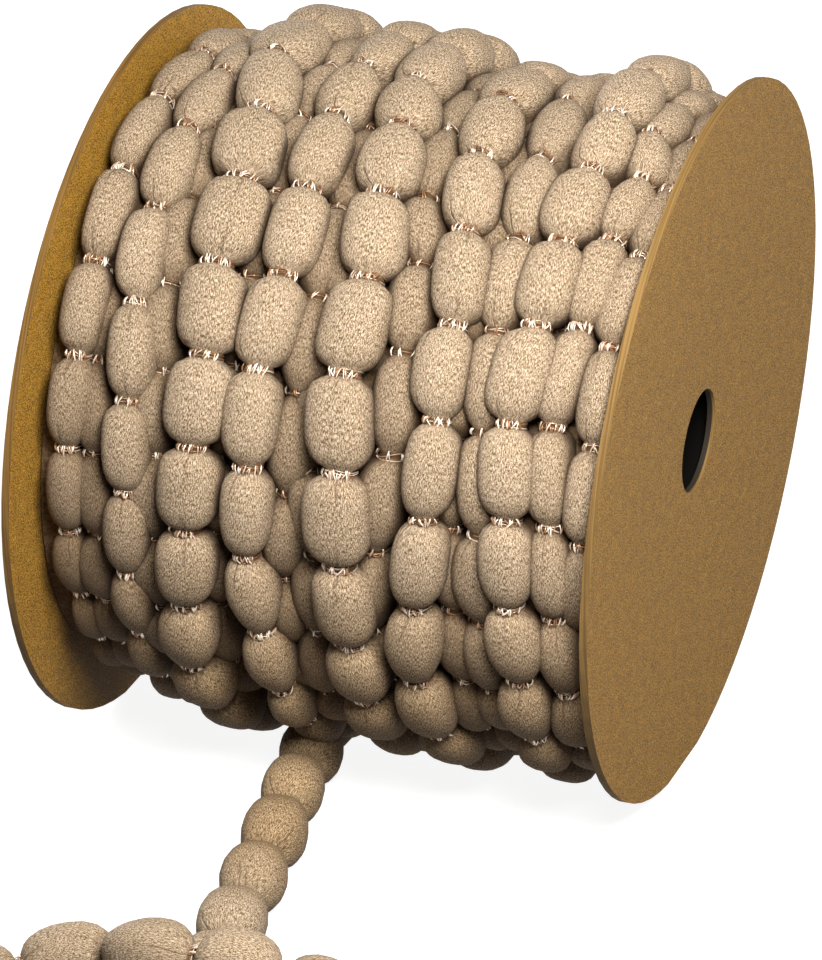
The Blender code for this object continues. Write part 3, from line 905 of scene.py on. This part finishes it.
def make_camera():
    """A camera that stands and looks as the one that took the photograph."""
    lens = bpy.data.cameras.new("camera")
    lens.lens, lens.sensor_width = CAMERA_LENS, SENSOR
    lens.clip_start, lens.clip_end = CLIP_START, CLIP_END
    made = shown("camera", lens)
    made.location = CAMERA_PLACE
    made.rotation_euler = np.radians((90.0 - CAMERA_UP, 0.0, CAMERA_ROUND))
    bpy.context.scene.camera = made


def soft_light(name, place, size, power, colour):
    """A square lamp that faces the middle of the spool."""
    lamp = bpy.data.lights.new(name, "AREA")
    lamp.shape, lamp.size, lamp.energy, lamp.color = "SQUARE", size, power, colour
    made = shown(name, lamp)
    made.location = place
    made.rotation_euler = Vector(np.subtract(LAMPS_AIM, place)).to_track_quat("-Z", "Y").to_euler()


def make_studio():
    """A near lamp in front, two low ones behind, a dim warm surround, and a pale floor that glows."""
    scene = bpy.context.scene
    scene.view_settings.view_transform = "Standard"
    world = bpy.data.worlds.new("studio")
    world.use_nodes = True
    surround = world.node_tree.nodes["Background"].inputs
    surround["Color"].default_value = rgb(*SURROUND_COLOUR)
    surround["Strength"].default_value = SURROUND_STRENGTH
    scene.world = world
    for lamp in LAMPS:
        soft_light(*lamp)
    mesh = bpy.data.meshes.new("floor")
    square = ((-1, -1), (1, -1), (1, 1), (-1, 1))
    corners = [(x * FLOOR_HALF, y * FLOOR_HALF, -FLOOR_DROP) for x, y in square]
    mesh.from_pydata(corners, [], [(0, 1, 2, 3)])
    material, _, _ = new_material(
        "pale_floor", Base_Color=rgb(*FLOOR_COLOUR), Roughness=0.9,
        Emission_Color=rgb(1.0, 1.0, 1.0), Emission_Strength=FLOOR_GLOW,
    )
    mesh.materials.append(material)
    floor = shown("floor", mesh)
    floor.visible_diffuse = False


def loose_waists(places, along):
    """Where along the route the loose cord's waists lie, in mm, and their counts from its start.

    A waist that shows lies at the place on the route that the camera sees nearest to it. Between
    the two runs there are as many beads as fit best, and after them as many as fit whole.
    """
    spots = seen_at(places)
    marks, counts = [FIRST_WAIST], [0]
    for run in LOOSE_SEEN:
        found = [along[np.argmin(np.linalg.norm(spots - spot, axis=1))] for spot in run]
        hidden = max(round((found[0] - marks[-1]) / LOOSE_PITCH), 1)
        counts += list(counts[-1] + hidden + np.arange(len(run)))
        marks += found
    more = int((along[-1] - marks[-1]) / LOOSE_PITCH)
    if more > 0:
        marks.append(marks[-1] + more * LOOSE_PITCH)
        counts.append(counts[-1] + more)
    return marks, counts


def make_loose_end(cloth, thread):
    """The free end of the cord: rings square to its route, whose size swells with each bead."""
    places, along = smooth_route()
    marks, counts = loose_waists(places, along)
    last = counts[-1]
    beads = stations_of(0, last, UPPER_STATIONS)
    distance = np.interp(beads, counts, marks)
    place, _, sideways, up = route_frame(distance, places, along)
    aside, out, round_way = beaded_rings(
        beads, UPPER_SIDES, LOOSE_HALF, LOOSE_HALF, BEAD_SEEDS["loose_cord"],
        (LOOSE_THIN, LOOSE_THIN), LOOSE_ENDS, LOOSE_NECK,
    )
    rings = place[:, None] + MM * (aside[..., None] * sideways[:, None] + out[..., None] * up[:, None])
    # the beads of the run that leads away from the spool, which get painted shade where each one starts
    painted_shade_run = np.clip(counts[len(LOOSE_SEEN[0])] + 1.0 - beads, 0, 1)
    cord = beaded_tube("loose_cord", rings, round_way, distance, beads, cloth, [("painted_shade_run", painted_shade_run)])
    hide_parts("loose_end")
    at_waists = route_frame(np.interp(np.arange(0, last), counts, marks), places, along)

    def place_at(aside, out, forward):
        """Points by their offsets sideways, up and forward of each waist."""
        place, run, sideways, up = (part[:, None] for part in at_waists)
        return place + MM * (aside[..., None] * sideways + out[..., None] * up + forward[..., None] * run)

    neck = np.full(last, LOOSE_HALF * LOOSE_THIN)
    threads = join_threads("loose_threads", bind_waists(place_at, neck, neck, *LOOSE_BINDING), thread)


def inner_drum(material):
    """The turns deep inside: a profile across the spool and down to its bore, carried round the axis."""
    angle = np.linspace(0, -WHOLE_TURN, DRUM_ROUND + 1)[:-1]
    reach, inner = (flange_face(radius) - BOARD - GAP for radius in (BASE_RADIUS, BORE_RADIUS))
    x = np.concatenate([np.linspace(-1, 1, DRUM_ACROSS) * reach, (inner, -inner)])
    radius = np.concatenate([np.full(DRUM_ACROSS, BASE_RADIUS), (BORE_RADIUS, BORE_RADIUS)])
    points = on_spool(x[None, :], radius[None, :], angle[:, None])
    rows, columns = points.shape[:2]
    index = np.arange(rows * columns).reshape(rows, columns)
    below = np.roll(index, -1, 0)
    faces = np.stack([below, np.roll(below, -1, 1), np.roll(index, -1, 1), index], -1).reshape(-1, 4)
    drum = mesh_of("inner_turns", points, faces.tolist(), material)
    drum.data.set_sharp_from_angle(angle=np.radians(DRUM_CREASE))
    return drum


def make_winding(cloth, shaded_deep_cloth, thread):
    """The wound cord: two layers of beads, the turn that leads out, their threads, and the turns inside."""
    chain = parted_chain(UPPER_COLUMNS, UPPER_BEFORE, UPPER_AFTER)
    upper, upper_waists = wound_beads("upper_turns", chain, UPPER_STATIONS, UPPER_SIDES, cloth)
    chain = parted_chain(LOWER_COLUMNS, LOWER_BEFORE, LOWER_AFTER)
    lower, lower_waists = wound_beads("lower_turns", chain, LOWER_STATIONS, LOWER_SIDES, cloth)
    chain = exit_chain()
    out_turn, out_waists = wound_beads("exit_turn", chain, UPPER_STATIONS, UPPER_SIDES, cloth, EXIT_BEADS)
    groups = wound_threads(upper_waists, UPPER_BINDING) + wound_threads(out_waists, EXIT_BINDING)
    threads = join_threads("upper_threads", groups, thread)
    deep_threads = join_threads("lower_threads", wound_threads(lower_waists, LOWER_BINDING), thread)
    for piece in (upper, lower, out_turn, threads, deep_threads, inner_drum(shaded_deep_cloth)):
        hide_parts("winding")


make_camera()
make_studio()
grain_group = fine_grain_group()
cloth, shaded_deep_cloth = bobble_cloth(grain_group), shaded_inner_cloth(grain_group)
thread, board = metallic_thread(), kraft_board(grain_group)
make_loose_end(cloth, thread)
make_winding(cloth, shaded_deep_cloth, thread)
for name in ("flange_left", "flange_right"):
    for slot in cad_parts[name].material_slots:
        slot.material = board
